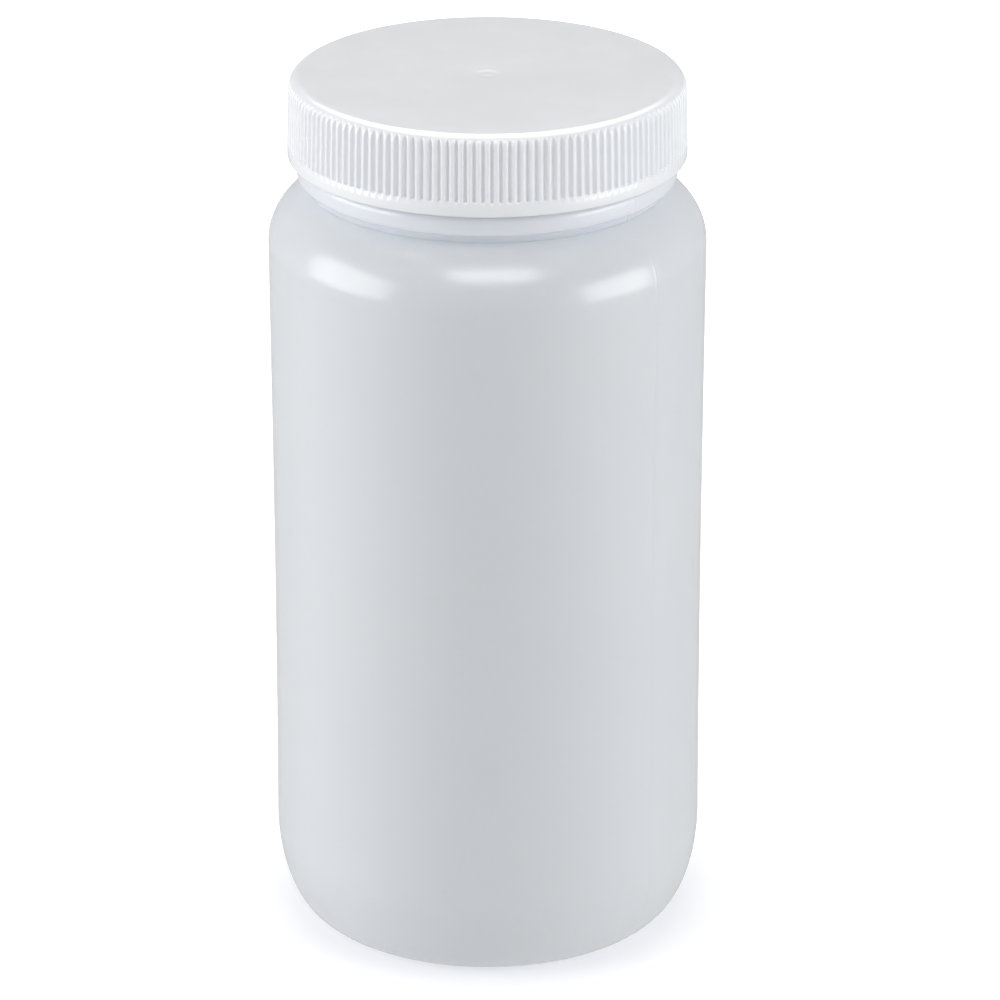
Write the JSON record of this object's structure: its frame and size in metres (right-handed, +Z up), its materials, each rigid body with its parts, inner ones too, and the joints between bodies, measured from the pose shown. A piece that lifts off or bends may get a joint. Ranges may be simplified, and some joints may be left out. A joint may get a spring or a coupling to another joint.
{
  "type": "reagent bottle",
  "caption": "Tall round wide-mouth plastic laboratory bottle with a rounded shoulder and heel, closed by a ribbed screw cap with a sealing liner.",
  "frame": {"origin": "on the standing plane, at the centre of the bottle's foot ring", "axes": "+Z up along the bottle's axis; the threads start on +X, and the mould's parting plane stands 41 degrees clockwise from +X seen from above"},
  "size_m": [0.1206, 0.1206, 0.2463],
  "materials": {
    "bottle_plastic": "natural translucent polyethylene, milky, soft satin gloss",
    "cap_plastic": "white moulded polypropylene, satin gloss",
    "liner_foam": "white expanded polyethylene sheet with skinned faces"
  },
  "bodies": {
    "bottle": {"bottle": "bottle_plastic"},
    "liner": {"liner": "liner_foam"},
    "cap": {"cap": "cap_plastic"}
  },
  "joints": [
    {"name": "cap_lift", "type": "slide", "parent": "bottle", "child": "liner", "axis": [0, 0, 1], "range_m": [0, 0.0256]},
    {"name": "cap_turn", "type": "hinge", "parent": "liner", "child": "cap", "pos_m": [0, 0, 0.24], "axis": [0, 0, 1], "range_deg": [0, 1800]}
  ],
  "couplings": [
    {"joint": "cap_lift", "follows": "cap_turn", "m_per_rad": 0.00080851}
  ]
}
